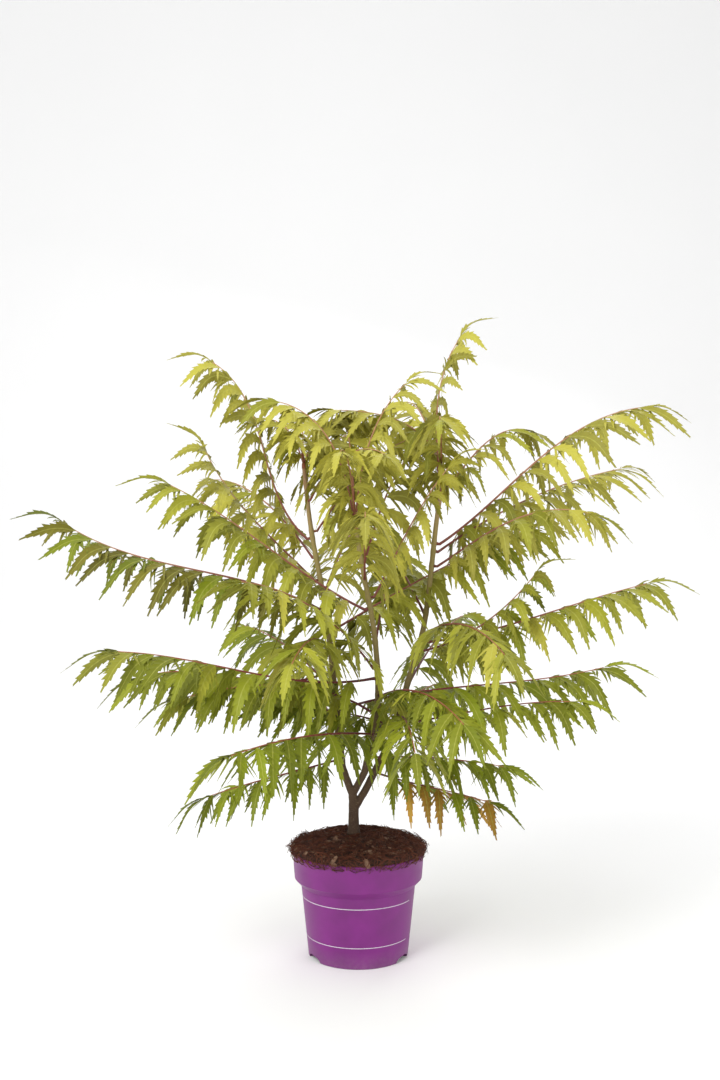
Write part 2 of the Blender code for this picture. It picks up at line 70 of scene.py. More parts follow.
class Gathered:
    """Points, faces and marks of many small forms, made into one piece at the end."""

    def __init__(self):
        self.points = []
        self.faces = []
        self.marks = []

    def add(self, points, faces, marks=None):
        """Takes in one form. Its marks are left out where no material reads them."""
        start = len(self.points)
        self.points.extend(points)
        self.faces.extend(tuple(start + i for i in face) for face in faces)
        self.marks.extend(marks or [NO_MARK] * len(points))

    def piece(self, name, look):
        """The mesh object, smooth, with its marks."""
        mesh = bpy.data.meshes.new(name)
        mesh.from_pydata([tuple(p) for p in self.points], [], self.faces)
        mesh.materials.append(look)
        mesh.shade_smooth()
        layer = mesh.attributes.new("mark", "FLOAT_VECTOR", "POINT")
        layer.data.foreach_set("vector", [value for mark in self.marks for value in mark])
        item = bpy.data.objects.new(name, mesh)
        bpy.context.scene.collection.objects.link(item)
        return item


def settle(piece, nodes):
    """The piece rides on the plant and stands for the nodes, which are hidden."""
    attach(piece, "root")
    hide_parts(*nodes)
    faces = sum(len(face.vertices) - 2 for face in piece.data.polygons)
    print(f"{piece.name}: {faces} triangles, stands for {len(nodes)} nodes")


# %% Turned and swept shapes
def ring_faces(rings, sides):
    """Quads between rings of points, and a face over the first ring and the last."""
    faces = []
    for low in range(0, (rings - 1) * sides, sides):
        high = low + sides
        for step in range(sides):
            after = (step + 1) % sides
            faces.append((low + step, low + after, high + after, high + step))
    faces.append(tuple(reversed(range(sides))))
    faces.append(tuple(range((rings - 1) * sides, rings * sides)))
    return faces


def turned(profile, sides):
    """Points and faces of a profile of (radius, height), from the bottom up, about +Z."""
    points = []
    for radius, height in profile:
        for step in range(sides):
            angle = 2.0 * math.pi * step / sides
            points.append(Vector((radius * math.cos(angle), radius * math.sin(angle), height)))
    return points, ring_faces(len(profile), sides)


def spline(waypoints, per_span):
    """A smooth path through the waypoints."""
    knots = [Vector(p) for p in waypoints]
    knots = [2.0 * knots[0] - knots[1], *knots, 2.0 * knots[-1] - knots[-2]]
    path = []
    for i in range(1, len(knots) - 2):
        before, start, end, after = knots[i - 1 : i + 3]
        for step in range(per_span):
            t = step / per_span
            path.append(
                0.5
                * (
                    2.0 * start
                    + (end - before) * t
                    + (2.0 * before - 5.0 * start + 4.0 * end - after) * t**2
                    + (3.0 * start - before - 3.0 * end + after) * t**3
                )
            )
    path.append(knots[-2])
    return path


def tangents(path):
    ends = [path[1] - path[0], *(b - a for a, b in zip(path, path[2:])), path[-1] - path[-2]]
    return [end.normalized() for end in ends]


def tube(path, radii, sides):
    """Points and faces of a closed tube along the path."""
    points = []
    across = tangents(path)[0].orthogonal()
    for centre, direction, radius in zip(path, tangents(path), radii):
        across = (across - direction * across.dot(direction)).normalized()
        over = direction.cross(across)
        for step in range(sides):
            angle = 2.0 * math.pi * step / sides
            points.append(centre + radius * (math.cos(angle) * across + math.sin(angle) * over))
    return points, ring_faces(len(path), sides)


# %% [markdown]
# Tools for materials
#
# Each finish is a Principled shader with a few nodes before it: a colour that varies with noise or
# with the marks, and a bump. The nodes could be laid out by hand in the shader editor. Here short
# helpers lay them out, so that a finish reads as a few lines and is the same in each run.


# %% Nodes by name
def node(tree, kind, sockets, **settings):
    """A new node. A socket given a socket is linked, and one given a value is set."""
    made = tree.nodes.new(kind)
    for key, value in settings.items():
        setattr(made, key, value)
    for key, value in sockets.items():
        if isinstance(value, bpy.types.NodeSocket):
            tree.links.new(value, made.inputs[key])
        else:
            made.inputs[key].default_value = value
    return made


def start_material(name, roughness):
    made = bpy.data.materials.new(name)
    made.use_nodes = True
    shader = made.node_tree.nodes["Principled BSDF"]
    shader.inputs["Roughness"].default_value = roughness
    return made, made.node_tree, shader


def place_noise(tree, scale, detail=4.0):
    """Noise that stays with the object, from 0 to 1."""
    place = node(tree, "ShaderNodeTexCoord", {})
    sockets = {"Vector": place.outputs["Object"], "Scale": scale, "Detail": detail}
    return node(tree, "ShaderNodeTexNoise", sockets).outputs["Fac"]


def math_node(tree, operation, first, second=0.0):
    return node(tree, "ShaderNodeMath", {0: first, 1: second}, operation=operation).outputs[0]


def spread(tree, value, low, high, to_low=0.0, to_high=1.0):
    """The value moved from the range low to high into the range to_low to to_high."""
    sockets = {"Value": value, "From Min": low, "From Max": high}
    sockets.update({"To Min": to_low, "To Max": to_high})
    return node(tree, "ShaderNodeMapRange", sockets).outputs["Result"]


def ramp(tree, value, stops):
    """A colour that runs through the stops of (place, colour)."""
    made = node(tree, "ShaderNodeValToRGB", {"Fac": value})
    elements = made.color_ramp.elements
    for element, (place, colour) in zip((elements[0], elements[1]), (stops[0], stops[-1])):
        element.position = place
        element.color = (*colour, 1.0)
    for place, colour in stops[1:-1]:
        elements.new(place).color = (*colour, 1.0)
    return made.outputs["Color"]


def mixed(tree, share, first, second):
    """The first colour, turned into the second by the share.

    A Mix node has sockets for each kind of value. Inputs 6 and 7 and output 2 are its colours.
    """
    made = node(tree, "ShaderNodeMix", {0: share, 6: first, 7: second}, data_type="RGBA")
    return made.outputs[2]


def bump(tree, shader, height, distance, strength=1.0):
    sockets = {"Height": height, "Distance": distance, "Strength": strength}
    made = node(tree, "ShaderNodeBump", sockets)
    tree.links.new(made.outputs["Normal"], shader.inputs["Normal"])


def shaded(colour, share):
    """The colour made darker, or paler with a share over 1."""
    return tuple(min(1.0, channel * share) for channel in colour)


# %% [markdown]
# Camera and light
#
# The photo shows the plant on plain white ground in soft light. One sun could light it, but it
# would draw hard shadows through the crown, so there are three large soft lights and a pale sky.
# The ground could be a floor and a wall, but their corner would show as a line, so the floor bends
# up into the wall. The camera is level and looks along +Y from the height of the crown's middle,
# with the focal length that the pot's and the crown's sizes in the photo give.

# %% Camera
CAMERA_PLACE = (0.003, -2.045, 0.72)
CAMERA_LENS = 39.0  # millimetres
CAMERA_SENSOR = 36.0  # millimetres, along the tall side

camera = bpy.data.objects.new("camera", bpy.data.cameras.new("camera"))
camera.data.lens = CAMERA_LENS
camera.data.sensor_width = CAMERA_SENSOR
camera.location = CAMERA_PLACE
camera.rotation_euler = (math.pi / 2.0, 0.0, 0.0)
bpy.context.scene.collection.objects.link(camera)
bpy.context.scene.camera = camera
bpy.context.scene.view_settings.view_transform = "Standard"

# %% Lights
Light = namedtuple("Light", "place size watts")
LIGHTS = {
    "key": Light((-1.7, -2.3, 2.7), 1.8, 88.0),
    "fill": Light((2.4, -1.9, 1.5), 2.4, 24.0),
    "rim": Light((0.6, 2.2, 2.6), 1.8, 26.0),
}
LIT_POINT = Vector((0.0, 0.0, 0.55))
SKY_COLOUR = (1.0, 1.0, 1.0, 1.0)
SKY_STRENGTH = 0.66


def add_light(name, light):
    made = bpy.data.objects.new(name, bpy.data.lights.new(name, "AREA"))
    made.data.energy = light.watts
    made.data.size = light.size
    made.location = light.place
    aim = LIT_POINT - Vector(light.place)
    made.rotation_euler = aim.to_track_quat("-Z", "Y").to_euler()
    bpy.context.scene.collection.objects.link(made)


for name, light in LIGHTS.items():
    add_light(name, light)
world = bpy.data.worlds.new("sky")
world.use_nodes = True
background = world.node_tree.nodes["Background"]
background.inputs["Color"].default_value = SKY_COLOUR
background.inputs["Strength"].default_value = SKY_STRENGTH
bpy.context.scene.world = world
print("lights:", ", ".join(f"{name} {light.watts} W" for name, light in LIGHTS.items()))

# %% Cove
COVE_HALF_WIDTH = 6.0
COVE_FRONT = -5.0
COVE_BACK = 3.2
COVE_BEND = 1.2  # radius between floor and wall
COVE_TOP = 5.0
COVE_STEPS = 12  # in the bend
GROUND_STOPS = ((0.0, (0.93, 0.93, 0.93)), (1.0, (0.96, 0.96, 0.96)))


def cove_line():
    """The cove's side view, from the front of its floor to the top of its wall."""
    line = [(COVE_FRONT, 0.0)]
    for step in range(COVE_STEPS + 1):
        angle = math.pi / 2.0 * step / COVE_STEPS
        across = COVE_BACK - COVE_BEND + COVE_BEND * math.sin(angle)
        line.append((across, COVE_BEND - COVE_BEND * math.cos(angle)))
    line.append((COVE_BACK, COVE_TOP))
    return line


def make_cove():
    look, tree, shader = start_material("pale_ground", 0.9)
    cloudy = ramp(tree, place_noise(tree, 1.5), GROUND_STOPS)
    tree.links.new(cloudy, shader.inputs["Base Color"])
    cove = Gathered()
    line = cove_line()
    points = [Vector((x, y, z)) for y, z in line for x in (-COVE_HALF_WIDTH, COVE_HALF_WIDTH)]
    faces = [(2 * i, 2 * i + 1, 2 * i + 3, 2 * i + 2) for i in range(len(line) - 1)]
    cove.add(points, faces)
    cove.piece("cove", look)


make_cove()
print(f"cove: {COVE_BACK - COVE_FRONT} m deep, {COVE_TOP} m high")

# %% [markdown]
# Pot
#
# A thin moulded shell: a tapering body, a collar with a step under it, a rounded lip, a floor and
# four arched drain recesses round its foot. It could be a plain cone with the rest in a bump, but
# the collar, the lip and the recesses show in its outline. So the shell is turned from its side
# view, and an exact Boolean cuts the recesses.

# %% Pot sizes
POT_HEIGHT = 0.180
POT_FOOT_RADIUS = 0.0865
POT_BODY_RADIUS = 0.0995
POT_BODY_TOP = 0.122
COLLAR_FOOT = 0.134
COLLAR_FOOT_RADIUS = 0.111
RIM_RADIUS = 0.115
POT_WALL = 0.002
POT_SIDES = 128
FOOT_CHAMFER = 0.0012
LIP_HEIGHT = 0.004
LIP_REACH = 0.0012
LIP_STEP = 0.001
LIP_BEAD = 0.002  # radius of the rounded lip
LIP_ANGLES = (-60.0, -20.0, 20.0, 55.0, 90.0)
OUTER_HEIGHTS = (FOOT_CHAMFER, 0.030, 0.060, 0.090, 0.119, 0.122, 0.124, 0.131, 0.134, 0.137, 0.155)
INNER_HEIGHTS = (0.174, 0.134, 0.122, POT_WALL)


def wall_radius(height):
    """The pot's outer radius at a height."""
    if height <= POT_BODY_TOP:
        share = height / POT_BODY_TOP
        return POT_FOOT_RADIUS + share * (POT_BODY_RADIUS - POT_FOOT_RADIUS)
    if height <= COLLAR_FOOT:
        share = (height - POT_BODY_TOP) / (COLLAR_FOOT - POT_BODY_TOP)
        return POT_BODY_RADIUS + share * (COLLAR_FOOT_RADIUS - POT_BODY_RADIUS)
    share = (height - COLLAR_FOOT) / (POT_HEIGHT - COLLAR_FOOT)
    return COLLAR_FOOT_RADIUS + share * (RIM_RADIUS - COLLAR_FOOT_RADIUS)


print(f"pot: {POT_HEIGHT} m high, {2.0 * RIM_RADIUS} m across its rim")


# %% Pot profile
def pot_profile():
    """Up the outside, over the lip and down the inside to the floor."""
    profile = [(POT_FOOT_RADIUS - FOOT_CHAMFER, 0.0)]
    profile.extend((wall_radius(height), height) for height in OUTER_HEIGHTS)
    lip_foot = POT_HEIGHT - LIP_HEIGHT
    profile.append((wall_radius(lip_foot) - LIP_REACH, lip_foot - LIP_STEP))
    for angle in LIP_ANGLES:
        turn = math.radians(angle)
        radius = RIM_RADIUS - LIP_BEAD + LIP_BEAD * math.cos(turn)
        profile.append((radius, POT_HEIGHT - LIP_BEAD + LIP_BEAD * math.sin(turn)))
    profile.extend((wall_radius(height) - POT_WALL, height) for height in INNER_HEIGHTS)
    return profile


# %% Drain recesses
RECESS_HEIGHT = 0.009
RECESS_SPRING = 0.002  # height at which the arch begins
RECESS_SPREAD = 27.0  # degrees round the pot
RECESS_DEPTH = 0.020
RECESS_HEADINGS = (28.0, 152.0, 208.0, 332.0)
ARCH_STEPS = 12
CUTTER_UNDER = 0.010  # how far the cutter reaches under the foot
CUTTER_PAST = 0.020  # and past the wall


def recess_block(heading):
    """Points and faces of an arched block that cuts one drain recess."""
    middle = math.radians(heading)
    out = Vector((math.cos(middle), math.sin(middle), 0.0))
    along = Vector((-out.y, out.x, 0.0))
    half = POT_FOOT_RADIUS * math.sin(math.radians(RECESS_SPREAD / 2.0))
    arch = [(-half, -CUTTER_UNDER)]
    for step in range(ARCH_STEPS + 1):
        angle = math.pi * (1.0 - step / ARCH_STEPS)
        rise = (RECESS_HEIGHT - RECESS_SPRING) * math.sin(angle)
        arch.append((half * math.cos(angle), RECESS_SPRING + rise))
    arch.append((half, -CUTTER_UNDER))
    reaches = (POT_FOOT_RADIUS - RECESS_DEPTH, POT_FOOT_RADIUS + CUTTER_PAST)
    points = [out * reach + along * x + UP * z for reach in reaches for x, z in arch]
    count = len(arch)
    faces = [tuple(range(count)), tuple(reversed(range(count, 2 * count)))]
    for step in range(count):
        after = (step + 1) % count
        faces.append((step, step + count, after + count, after))
    return points, faces


# %% Objects and modifiers
def plain_object(name, points, faces, look):
    """A mesh object with its faces turned outwards."""
    mesh = bpy.data.meshes.new(name)
    mesh.from_pydata([tuple(p) for p in points], [], faces)
    shape = bmesh.new()
    shape.from_mesh(mesh)
    bmesh.ops.recalc_face_normals(shape, faces=shape.faces)
    shape.to_mesh(mesh)
    shape.free()
    mesh.materials.append(look)
    item = bpy.data.objects.new(name, mesh)
    bpy.context.scene.collection.objects.link(item)
    return item


def evaluated_mesh(item):
    """The object's mesh with its modifiers, which are then removed."""
    graph = bpy.context.evaluated_depsgraph_get()
    made = bpy.data.meshes.new_from_object(item.evaluated_get(graph), depsgraph=graph)
    item.modifiers.clear()
    return made


# %% [markdown]
# Plastic of the pot
#
# A deep purple with faint flow marks from the mould, and a little dust at the foot. One even
# colour would be quicker, but it makes a pot look drawn. So one noise varies the colour and the
# gloss, another breaks up the dust and a very fine one gives the grain of the mould.

# %% Pot plastic
POT_COLOUR = (0.185, 0.009, 0.180)
DUST_COLOUR = (0.30, 0.24, 0.26, 1.0)
DUST_TOP = 0.030  # height above which the wall is clean
DUST_SHARE = 0.35
SHARP_ANGLE = 32.0  # degrees past which an edge stays sharp


def pot_plastic():
    look, tree, shader = start_material("pot_plastic", 0.42)
    place = node(tree, "ShaderNodeTexCoord", {})
    height = node(tree, "ShaderNodeSeparateXYZ", {0: place.outputs["Object"]}).outputs["Z"]
    patches = place_noise(tree, 22.0)
    stops = [(0.25, shaded(POT_COLOUR, 0.84)), (0.75, shaded(POT_COLOUR, 1.16))]
    colour = ramp(tree, patches, stops)
    low = spread(tree, height, DUST_TOP, 0.0)
    dust = math_node(tree, "MULTIPLY", low, place_noise(tree, 160.0))
    colour = mixed(tree, math_node(tree, "MULTIPLY", dust, DUST_SHARE), colour, DUST_COLOUR)
    tree.links.new(colour, shader.inputs["Base Color"])
    tree.links.new(spread(tree, patches, 0.0, 1.0, 0.34, 0.52), shader.inputs["Roughness"])
    bump(tree, shader, place_noise(tree, 900.0, 2.0), 0.00012)
    return look


def make_pot(look):
    pot = plain_object("pot_shell", *turned(pot_profile(), POT_SIDES), look)
    for index, heading in enumerate(RECESS_HEADINGS):
        block = plain_object(f"recess_block_{index}", *recess_block(heading), look)
        cut = pot.modifiers.new("recess", "BOOLEAN")
        cut.object = block
        cut.solver = "EXACT"
        pot.data = evaluated_mesh(pot)
        bpy.data.objects.remove(block, do_unlink=True)
    pot.data.shade_smooth()
    pot.data.set_sharp_from_angle(angle=math.radians(SHARP_ANGLE))
    return pot


settle(make_pot(pot_plastic()), ["pot"])

# %% [markdown]
# Printed lines
#
# Two thin pale lines run round the body, with a gap to the right of the front. A ring pattern in
# the plastic's own nodes could draw them. They are narrow strips of their own instead, just off
# the wall, because a strip keeps its clean edge when the finish is baked for the export.

# %% Printed lines
LINE_HEIGHTS = (0.037, 0.104)
LINE_WIDTH = 0.0010
LINE_LIFT = 0.0002  # off the wall, so that print and plastic don't share a face
LINE_GAP = (-27.0, -12.0)  # headings between which a line is left out
LINE_STEPS = 110
PRINT_STOPS = ((0.2, (0.55, 0.50, 0.56)), (0.5, (0.82, 0.80, 0.83)))  # worn, then whole


def make_lines():
    look, tree, shader = start_material("pot_print", 0.5)
    worn = ramp(tree, place_noise(tree, 300.0), PRINT_STOPS)
    tree.links.new(worn, shader.inputs["Base Color"])
    lines = Gathered()
    for height in LINE_HEIGHTS:
        points = []
        for step in range(LINE_STEPS + 1):
            share = step / LINE_STEPS
            angle = math.radians(LINE_GAP[1] + share * (360.0 - LINE_GAP[1] + LINE_GAP[0]))
            for z in (height - LINE_WIDTH / 2.0, height + LINE_WIDTH / 2.0):
                reach = wall_radius(z) + LINE_LIFT
                points.append(Vector((reach * math.cos(angle), reach * math.sin(angle), z)))
        faces = [(2 * i, 2 * i + 2, 2 * i + 3, 2 * i + 1) for i in range(LINE_STEPS)]
        lines.add(points, faces)
    return lines.piece("pot_lines", look)


settle(make_lines(), [])

# %% [markdown]
# Mulch
#
# A mound of dark soil that swells over the rim, under a mat of loose coir fibres and a few pale
# bark chips. A mound with a fibrous bump would do from far away, but here the fibres stand out
# against the pot and the ground. So the mound is a turned shape with noise, and a Geometry Nodes
# group scatters real grains on it: points on its faces, one grain on each, turned and sized at
# random. One group serves fibres and chips, and only its inputs differ.

# %% Mound
MULCH_TOP = 0.207
MULCH_SHOULDER = 0.190
MULCH_SEAT_RADIUS = 0.022
SEAT_RINGS = (0.012, 0.004)
MOUND_SKIRT = (  # how far past the rim's radius, and at what height
    (-0.0040, 0.1720),
    (-0.0035, 0.1805),
    (0.0005, 0.1835),
    (0.0010, 0.1860),
    (-0.0020, MULCH_SHOULDER),
)
MOUND_FOOT = RIM_RADIUS - 0.006  # radius from which it rises to the seat
MOUND_RINGS = 24
MOUND_SIDES = 96
MOUND_ROUGH = 0.0022
ROUGH_FROM = 0.182  # height above which the mound is rough
CRUMB_STAND = 0.0015  # most that it stands over the seat
LUMP_SCALE = 55.0
CRUMB_SCALE = 160.0
SOIL_COLOURS = ((0.014, 0.005, 0.003), (0.050, 0.018, 0.009))


def mound_profile():
    """From the skirt inside the rim, over the swell and up to the level seat."""
    profile = [(RIM_RADIUS + past, height) for past, height in MOUND_SKIRT]
    for step in range(1, MOUND_RINGS + 1):
        share = step / MOUND_RINGS
        radius = MOUND_FOOT + share * (MULCH_SEAT_RADIUS - MOUND_FOOT)
        rise = math.sin(share * math.pi / 2.0)
        profile.append((radius, MULCH_SHOULDER + rise * (MULCH_TOP - MULCH_SHOULDER)))
    profile.extend((radius, MULCH_TOP) for radius in SEAT_RINGS)
    return profile


def mulch_look(name, dark, light, scale):
    """A dull, crumbly finish between a dark and a light colour."""
    look, tree, shader = start_material(name, 0.92)
    grain = place_noise(tree, scale, 6.0)
    tree.links.new(ramp(tree, grain, [(0.3, dark), (0.7, light)]), shader.inputs["Base Color"])
    bump(tree, shader, place_noise(tree, scale * 3.0), 0.0006)
    return look


def make_mound():
    points, faces = turned(mound_profile(), MOUND_SIDES)
    for point in points:
        if point.z > ROUGH_FROM:
            lump = noise.noise(point * LUMP_SCALE) + 0.6 * noise.noise(point * CRUMB_SCALE)
            point.z = min(point.z + MOUND_ROUGH * (lump - 0.5), MULCH_TOP + CRUMB_STAND)
    look = mulch_look("mulch_soil", *SOIL_COLOURS, 120.0)
    mound = plain_object("mulch_mound", points, faces, look)
    mound.data.shade_smooth()
    return mound


mound = make_mound()
settle(mound, ["mulch"])

# %% Grains
FIBRE_RADII = (0.010, 0.017, 0.019, 0.019, 0.018, 0.015, 0.006)
CHIP_PLACES = (-0.5, -0.42, 0.0, 0.38, 0.5)
CHIP_RADII = (0.05, 0.22, 0.27, 0.20, 0.06)
CHIP_LIFT = 0.06
CHIP_FLATNESS = 0.28


def fibre_points():
    """A curled three-sided strand, 1 unit long."""
    path = []
    last = len(FIBRE_RADII) - 1
    for step in range(last + 1):
        share = step / last
        bend = 0.16 * math.sin(3.4 * share)
        path.append(Vector((share - 0.5, bend, 0.03 + 0.10 * math.sin(math.pi * share))))
    return tube(path, FIBRE_RADII, 3)


def chip_points():
    """A flat splinter of bark, 1 unit long, thinner at its ends."""
    path = [Vector((x, 0.02 * x * x, CHIP_LIFT)) for x in CHIP_PLACES]
    points, faces = tube(path, CHIP_RADII, 6)
    for point in points:
        point.z = CHIP_LIFT + (point.z - CHIP_LIFT) * CHIP_FLATNESS
    return points, faces


# %% Scatter group
SCATTER_INPUTS = {
    "Surface": "NodeSocketGeometry",
    "Grain": "NodeSocketObject",
    "Per square metre": "NodeSocketFloat",
    "Smallest": "NodeSocketFloat",
    "Largest": "NodeSocketFloat",
    "Tilt": "NodeSocketFloat",
    "Seed": "NodeSocketInt",
    "Look": "NodeSocketMaterial",
}
ANY_HEADING = 6.2832  # radians, a full turn


def random_size(group, given):
    """A size for each grain, from the smallest to the largest."""
    sockets = {2: given["Smallest"], 3: given["Largest"], "Seed": given["Seed"]}
    return node(group, "FunctionNodeRandomValue", sockets, data_type="FLOAT").outputs[1]


def random_turn(group, given):
    """A turn for each grain: a tilt to either side, and any heading."""
    sockets = {0: given["Tilt"], 1: given["Tilt"], 2: ANY_HEADING}
    most = node(group, "ShaderNodeCombineXYZ", sockets).outputs[0]
    sockets = {0: most, 1: (-1.0, -1.0, 0.0)}
    least = node(group, "ShaderNodeVectorMath", sockets, operation="MULTIPLY").outputs[0]
    sockets = {0: least, 1: most, "Seed": given["Seed"]}
    return node(group, "FunctionNodeRandomValue", sockets, data_type="FLOAT_VECTOR").outputs[0]


def scatter_group():
    """Scatters one grain over a surface, turned and sized at random."""
    group = bpy.data.node_groups.new("scatter_grains", "GeometryNodeTree")
    for label, kind in SCATTER_INPUTS.items():
        group.interface.new_socket(label, in_out="INPUT", socket_type=kind)
    group.interface.new_socket("Grains", in_out="OUTPUT", socket_type="NodeSocketGeometry")
    given = group.nodes.new("NodeGroupInput").outputs
    sockets = {
        "Mesh": given["Surface"],
        "Density": given["Per square metre"],
        "Seed": given["Seed"],
    }
    scattered = node(group, "GeometryNodeDistributePointsOnFaces", sockets)
    grain = node(group, "GeometryNodeObjectInfo", {"Object": given["Grain"]})
    sockets = {
        "Points": scattered.outputs["Points"],
        "Instance": grain.outputs["Geometry"],
        "Rotation": scattered.outputs["Rotation"],
        "Scale": random_size(group, given),
    }
    placed = node(group, "GeometryNodeInstanceOnPoints", sockets)
    sockets = {"Instances": placed.outputs["Instances"], "Rotation": random_turn(group, given)}
    rotated = node(group, "GeometryNodeRotateInstances", sockets)
    real = node(group, "GeometryNodeRealizeInstances", {0: rotated.outputs[0]})
    sockets = {"Geometry": real.outputs[0], "Material": given["Look"]}
    coloured = node(group, "GeometryNodeSetMaterial", sockets)
    result = group.nodes.new("NodeGroupOutput")
    group.links.new(coloured.outputs[0], result.inputs[0])
    return group


# %% Scattering
Scatter = namedtuple("Scatter", "grain density smallest largest tilt seed look")


def scatter(name, group, surface, plan):
    """A piece of many grains on the surface."""
    carrier = bpy.data.objects.new(name, surface.data.copy())
    bpy.context.scene.collection.objects.link(carrier)
    grain = plain_object("grain", *plan.grain, plan.look)
    values = (grain, plan.density, plan.smallest, plan.largest, plan.tilt, plan.seed, plan.look)
    modifier = carrier.modifiers.new("scatter", "NODES")
    modifier.node_group = group
    inputs = [item for item in group.interface.items_tree if item.in_out == "INPUT"]
    for item, value in zip(inputs[1:], values):
        modifier[item.identifier] = value
    carrier.data = evaluated_mesh(carrier)
    bpy.data.objects.remove(grain, do_unlink=True)
    return carrier


# %% Fibres and chips
fibre_look = mulch_look("coir_fibre", (0.042, 0.009, 0.004), (0.170, 0.048, 0.020), 90.0)
chip_look = mulch_look("bark_chip", (0.110, 0.050, 0.028), (0.270, 0.160, 0.100), 140.0)
grains = scatter_group()
print(f"scatter group: {len(grains.nodes)} nodes, {len(SCATTER_INPUTS)} inputs")
FIBRES = Scatter(fibre_points(), 50000.0, 0.010, 0.034, 0.32, 4, fibre_look)
CHIPS = Scatter(chip_points(), 2600.0, 0.006, 0.019, 0.35, 9, chip_look)
for name, plan in {"mulch_fibres": FIBRES, "mulch_chips": CHIPS}.items():
    settle(scatter(name, grains, mound, plan), [])

# %% [markdown]
# Paths of the trunk and the stems
#
# One short trunk forks twice, low down, into three stems. Each could be a curve object, but the
# leaves have to find a stem's centre, direction and thickness at any height. So a stem is a list
# of points with a spline through them, from which plain functions read all three. The wood's own
# mesh comes last, because it swells where the leaves leave it.

# %% Wood sizes
TRUNK_FOOT = Vector((-0.008, 0.0, 0.2073))
LOWER_FORK = Vector((-0.008, 0.0, 0.250))
UPPER_FORK = Vector((-0.010, -0.001, 0.281))

Limb = namedtuple("Limb", "path low_radius top_radius")
STEMS = {
    "left": Limb(
        (
            (-0.0290, 0.006, 0.330),
            (-0.0357, 0.012, 0.392),
            (-0.0554, 0.030, 0.578),
            (-0.0842, 0.045, 0.738),
            (-0.0975, 0.051, 0.850),
        ),
        0.0066,
        0.0036,
    ),
    "middle": Limb(
        (
            (0.0130, -0.006, 0.324),
            (0.0308, -0.012, 0.4085),
            (0.0342, -0.018, 0.468),
            (0.0270, -0.030, 0.5635),
            (0.0047, -0.050, 0.686),
            (-0.0040, -0.055, 0.737),
        ),
        0.0062,
        0.0036,
    ),
    "right": Limb(
        (
            (0.0180, 0.004, 0.293),
            (0.0646, 0.015, 0.3856),
            (0.0860, 0.024, 0.463),
            (0.1166, 0.034, 0.5674),
            (0.1400, 0.045, 0.7556),
            (0.1480, 0.050, 0.800),
        ),
        0.0066,
        0.0038,
    ),
}
STEM_RINGS = 10  # to each span between waypoints


def stem_line(name):
    """The stem's smooth path and the radius at each of its points."""
    stem = STEMS[name]
    path = spline(stem.path, STEM_RINGS)
    last = len(path) - 1
    fall = stem.top_radius - stem.low_radius
    return path, [stem.low_radius + fall * i / last for i in range(last + 1)]


def stem_at(name, height):
    """Centre, direction and radius of a stem at a height."""
    path, radii = stem_line(name)
    i = next((i for i in range(len(path) - 1) if path[i + 1].z >= height), len(path) - 2)
    share = (height - path[i].z) / (path[i + 1].z - path[i].z)
    share = min(max(share, 0.0), 1.0)
    direction = (path[i + 1] - path[i]).normalized()
    return path[i].lerp(path[i + 1], share), direction, radii[i] + share * (radii[i + 1] - radii[i])


def stem_length(name):
    path = stem_line(name)[0]
    return sum((b - a).length for a, b in zip(path, path[1:]))


for name in STEMS:
    print(f"stem {name}: {stem_length(name):.3f} m long")

# %% [markdown]
# Leaves
#
# Each leaf is a curved rachis with leaflets in near-opposite pairs and one at its end. Trees seen
# from afar often carry flat cards with a picture of leaves. This crown is seen from near by and
# from all sides, so each leaflet is a mesh of a few dozen faces: a long pointed blade with forward
# teeth, narrow finger lobes at its base, a fold along the midrib and a droop that grows towards
# the foot of the leaf. Plain functions grow them, because each leaflet bends and is cut by its own
# random draws. A leaf is given by where it leaves its stem, its heading, its rise at the base,
# middle and end, and its length, and the leaflets follow from the length by rule.

